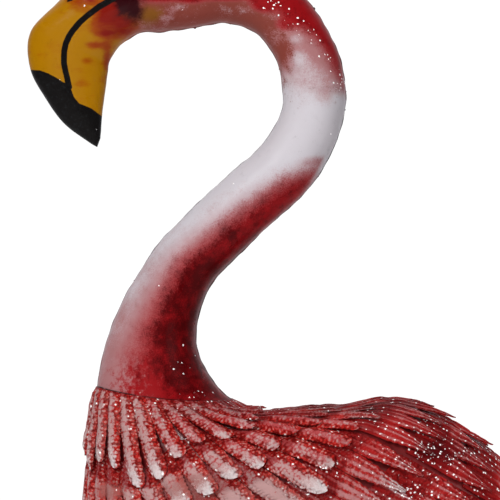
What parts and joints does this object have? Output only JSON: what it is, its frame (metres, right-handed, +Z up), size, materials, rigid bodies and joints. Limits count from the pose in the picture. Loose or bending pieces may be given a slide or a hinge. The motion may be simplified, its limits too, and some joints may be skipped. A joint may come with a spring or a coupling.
{
  "type": "metal flamingo garden ornament",
  "caption": "Standing flamingo of painted sheet steel, with a welded S-curved neck, hooked bill, overlapping cut feathers, rod legs with webbed feet and an oval base plate.",
  "frame": {"origin": "centre of the base plate's underside, on the ground", "axes": "+Z up; the bird faces -X, its left side is at -Y"},
  "size_m": [0.5722, 0.2446, 1.1],
  "materials": {
    "neck_paint": "glossy lacquer, airbrushed from red to whitish pink; yellow bill with a black tip",
    "body_paint": "glossy dark red lacquer",
    "feather_paint": "glossy red lacquer, whitish on the crests and tips, with a little glitter",
    "wing_paint": "glossy deep red lacquer, pinkish on the crests, with a little glitter",
    "leg_paint": "satin pinkish red",
    "plate_paint": "satin blackish brown"
  },
  "bodies": {
    "root": {"base_plate": "plate_paint", "foot_left": "leg_paint", "foot_right": "leg_paint", "leg_left": "leg_paint", "leg_right": "leg_paint", "body_shell": "body_paint", "head_and_neck": "neck_paint", "collar_feathers": "feather_paint", "shoulder_feathers": "feather_paint", "breast_feathers": "feather_paint", "belly_feathers": "feather_paint", "back_feathers_1": "wing_paint", "back_feathers_2": "wing_paint", "back_feathers_3": "wing_paint", "wing_left_1": "wing_paint", "wing_left_2": "wing_paint", "wing_left_3": "wing_paint", "wing_right_1": "wing_paint", "wing_right_2": "wing_paint", "wing_right_3": "wing_paint", "vent_feathers_1": "wing_paint", "vent_feathers_2": "wing_paint", "tail_feathers": "wing_paint"}
  },
  "joints": []
}
